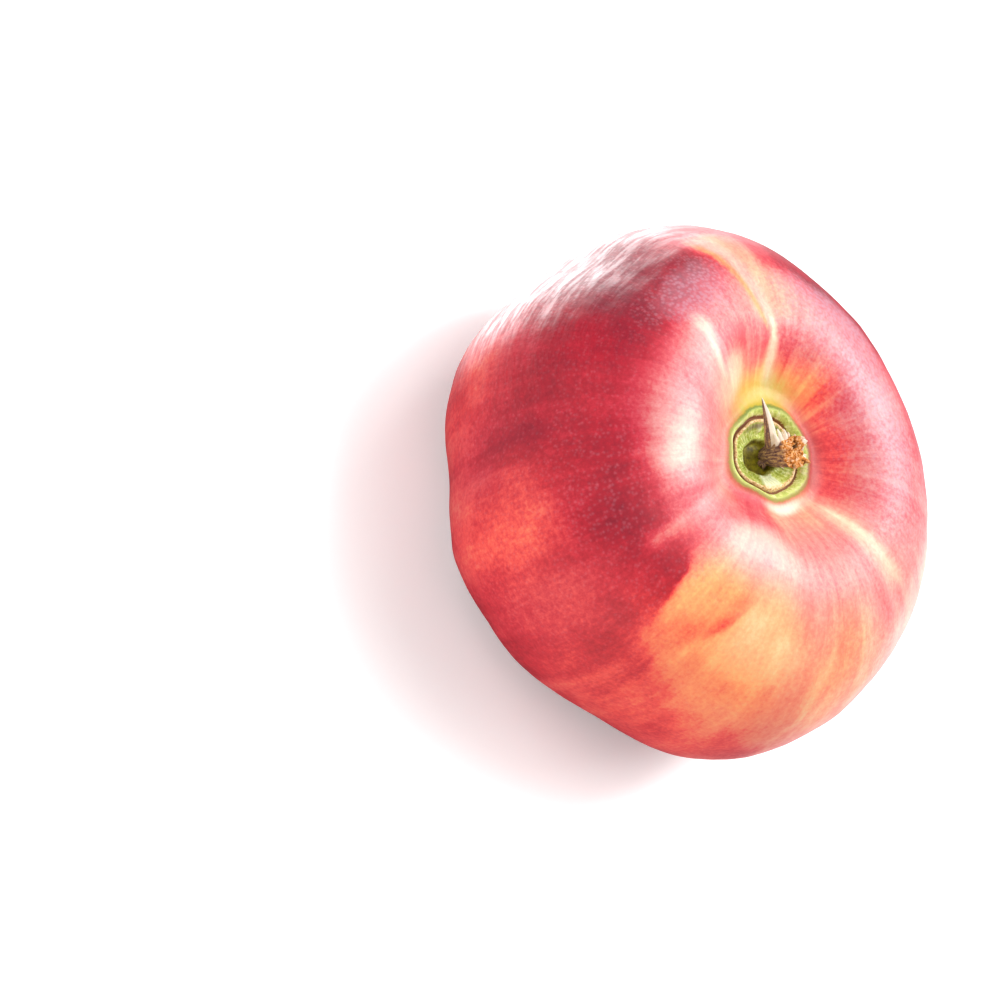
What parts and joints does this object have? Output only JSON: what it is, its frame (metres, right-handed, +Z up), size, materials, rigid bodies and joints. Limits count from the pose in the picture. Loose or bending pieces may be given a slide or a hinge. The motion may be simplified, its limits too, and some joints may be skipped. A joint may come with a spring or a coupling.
{
  "type": "nectarine",
  "caption": "Flat, tyre-shaped nectarine lying stem end up, with a deep stem cavity, lobes parted by creases and a broken stalk.",
  "frame": {"origin": "under the middle of the fruit's outline, on the surface it rests on", "axes": "+Z up through the stem end; +X to the right and +Y to the back as the fruit is seen from the front"},
  "size_m": [0.0678, 0.0668, 0.0391],
  "materials": {
    "skin": "smooth waxy fruit skin, crimson to orange-red with cream creases and pale dots, soft sheen",
    "dry_stalk": "dry fibrous brown stalk, torn and matt"
  },
  "bodies": {
    "root": {"fruit": "skin", "stalk_stub": "dry_stalk"}
  },
  "joints": []
}
